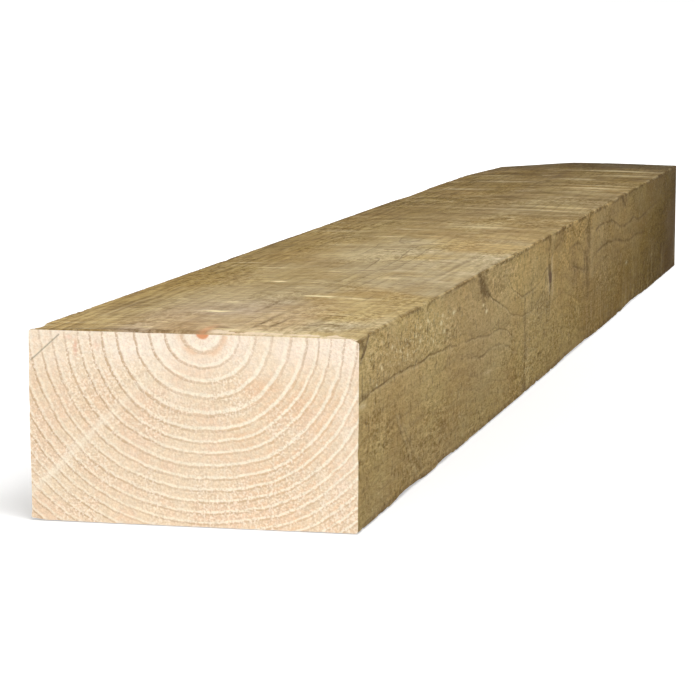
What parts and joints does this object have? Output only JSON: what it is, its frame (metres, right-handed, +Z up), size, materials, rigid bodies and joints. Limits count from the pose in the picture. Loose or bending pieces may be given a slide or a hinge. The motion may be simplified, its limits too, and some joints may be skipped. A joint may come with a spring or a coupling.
{
  "type": "timber post",
  "caption": "Rough-sawn, pressure-treated softwood post of rectangular section, lying on its wide face, with one fresh crosscut end.",
  "frame": {"origin": "middle of the underside, the wide face that the post lies on", "axes": "+Y along the length, from the fresh crosscut end to the old treated end; +Z up, towards the crowned heart face; +X across the width"},
  "size_m": [0.175, 1.5, 0.1015],
  "materials": {
    "treated_softwood": "rough-sawn, olive-brown from the preservative, with one pale fresh crosscut end"
  },
  "bodies": {
    "root": {"timber_post": "treated_softwood"}
  },
  "joints": []
}
